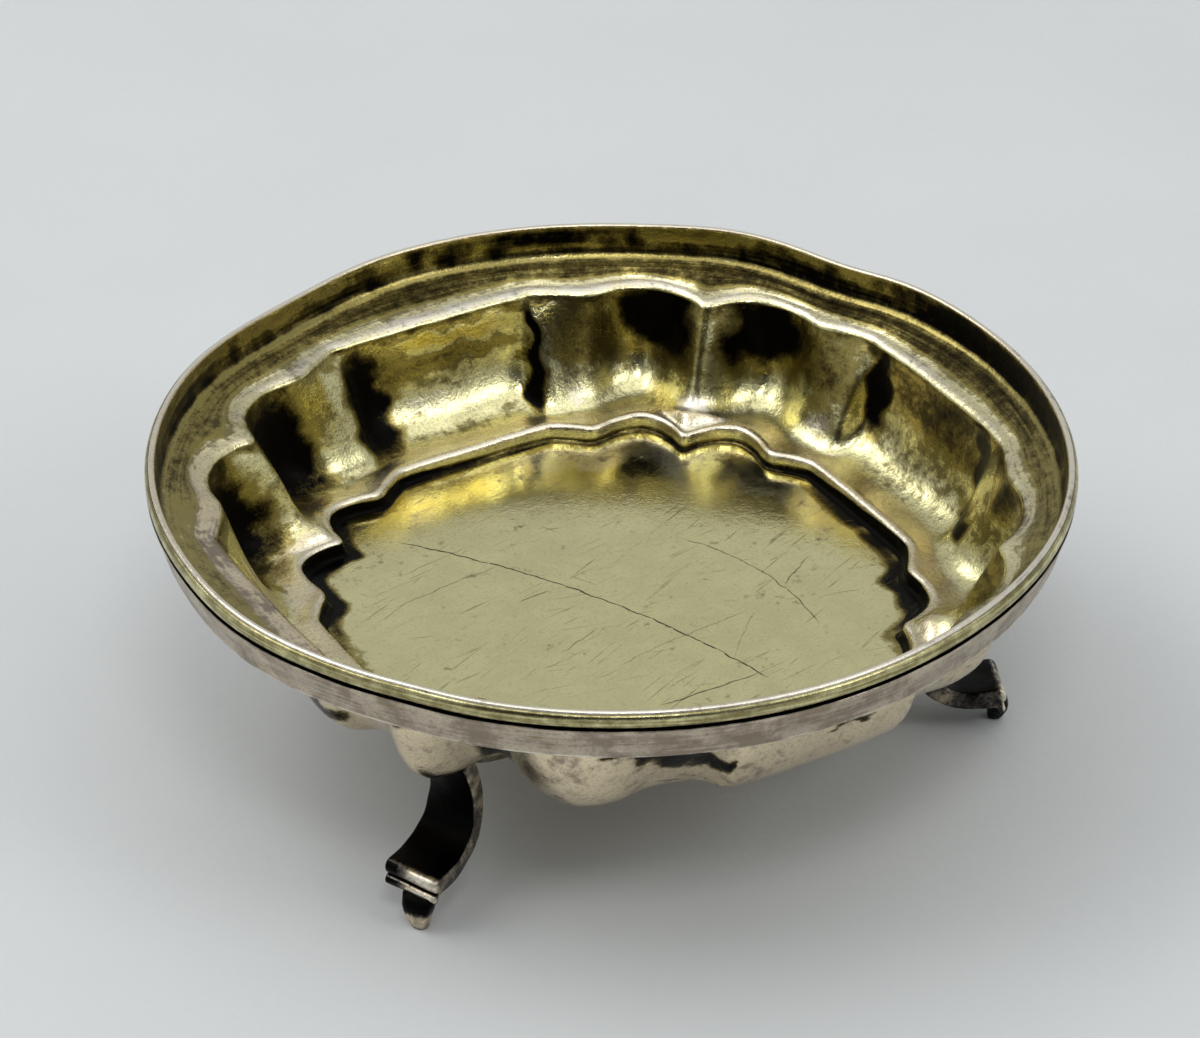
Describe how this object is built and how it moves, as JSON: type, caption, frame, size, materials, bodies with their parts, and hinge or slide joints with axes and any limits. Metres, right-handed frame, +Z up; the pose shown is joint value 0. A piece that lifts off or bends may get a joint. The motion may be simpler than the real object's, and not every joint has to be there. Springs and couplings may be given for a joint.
{
  "type": "salt cellar",
  "caption": "Round shallow salt cellar with a lobed gilt interior, a flat ledge, a band and wire round the rim, and scroll legs on small toes.",
  "frame": {"origin": "on the bowl's axis at the level of the table", "axes": "+Z up out of the bowl, -Y towards the middle of a straight panel with a leg on each side of it, +Y towards the rear leg"},
  "size_m": [0.0622, 0.0622, 0.022],
  "materials": {
    "gilt_bowl": "worn gilding over silver, polished, with dark tarnish in the recesses",
    "silver_band": "dull silver, mottled with tarnish",
    "silver_wire": "worn silver with a yellow cast",
    "leg_silver": "black tarnish, bright on the worn edges",
    "toe_silver": "black tarnish, worn bright at the tip"
  },
  "bodies": {
    "root": {"bowl": "gilt_bowl", "rim_band": "silver_band", "rim_wire": "silver_wire", "leg_rear": "leg_silver", "leg_left": "leg_silver", "leg_right": "leg_silver", "toe_rear": "toe_silver", "toe_left": "toe_silver", "toe_right": "toe_silver"}
  },
  "joints": []
}
